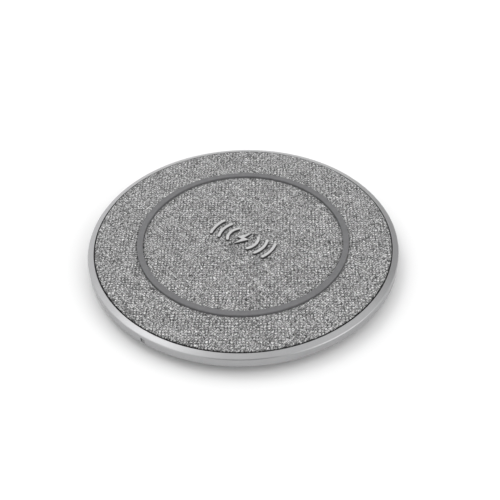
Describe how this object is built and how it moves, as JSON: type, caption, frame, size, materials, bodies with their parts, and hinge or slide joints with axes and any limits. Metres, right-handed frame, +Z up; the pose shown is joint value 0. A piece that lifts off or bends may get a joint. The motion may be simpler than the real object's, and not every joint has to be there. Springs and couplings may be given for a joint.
{
  "type": "wireless charging pad",
  "caption": "Round wireless charging pad: woven top with a raised silicone grip ring, a bevelled aluminium rim, a plastic base on a silicone foot, and a cable socket at the back.",
  "frame": {"origin": "on the surface that the pad stands on, under its centre", "axes": "+Z up through the woven top, +Y to the cable socket at the back, -Y to the status light at the front"},
  "size_m": [0.1, 0.1, 0.0082],
  "materials": {
    "woven_fabric": "plain-weave melange grey polyester",
    "rim_aluminium": "fine bead-blasted, clear anodised satin",
    "silicone": "matte grey silicone",
    "mark_silicone": "matte light grey silicone",
    "base_plastic": "fine spark-eroded texture, dark grey polycarbonate",
    "light_pipe": "frosted translucent polycarbonate",
    "lamp_body": "moulded lamp, yellowish lens",
    "adhesive_film": "double-sided adhesive film",
    "screw_steel": "black zinc plated",
    "socket_steel": "nickel plated stainless steel",
    "contact_gold": "gold plated",
    "black_plastic": "moulded black resin",
    "board_laminate": "glass-fibre laminate under green solder mask",
    "ferrite": "sintered ferrite, dark grey",
    "coil_copper": "enamelled stranded copper wire",
    "solder": "tin solder",
    "sensor_epoxy": "epoxy bead",
    "foam": "closed-cell foam",
    "capacitor_ceramic": "fired ceramic"
  },
  "bodies": {
    "root": {"foot_pad": "silicone", "foot_adhesive": "adhesive_film", "base_shell": "base_plastic", "case_screws": "screw_steel", "rim_ring": "rim_aluminium", "groove_seal": "foam", "top_plate": "base_plastic", "fabric_adhesive": "adhesive_film", "fabric_cover": "woven_fabric", "grip_ring": "silicone", "centre_mark": "mark_silicone", "led_light_pipe": "light_pipe", "indicator_led": "lamp_body", "circuit_board": "board_laminate", "usb_c_shell": "socket_steel", "usb_c_tongue": "black_plastic", "usb_c_contacts": "contact_gold", "ferrite_adhesive": "adhesive_film", "ferrite_disc": "ferrite", "coil_adhesive": "adhesive_film", "charging_coil": "coil_copper", "coil_solder": "solder", "coil_thermistor": "sensor_epoxy", "coil_foam": "foam", "power_inductor": "ferrite", "resonant_capacitors": "capacitor_ceramic", "power_mosfets": "black_plastic", "controller_chip": "black_plastic", "power_delivery_chip": "black_plastic", "timing_crystal": "socket_steel", "ceramic_capacitors": "capacitor_ceramic", "chip_resistors": "black_plastic"}
  },
  "joints": []
}
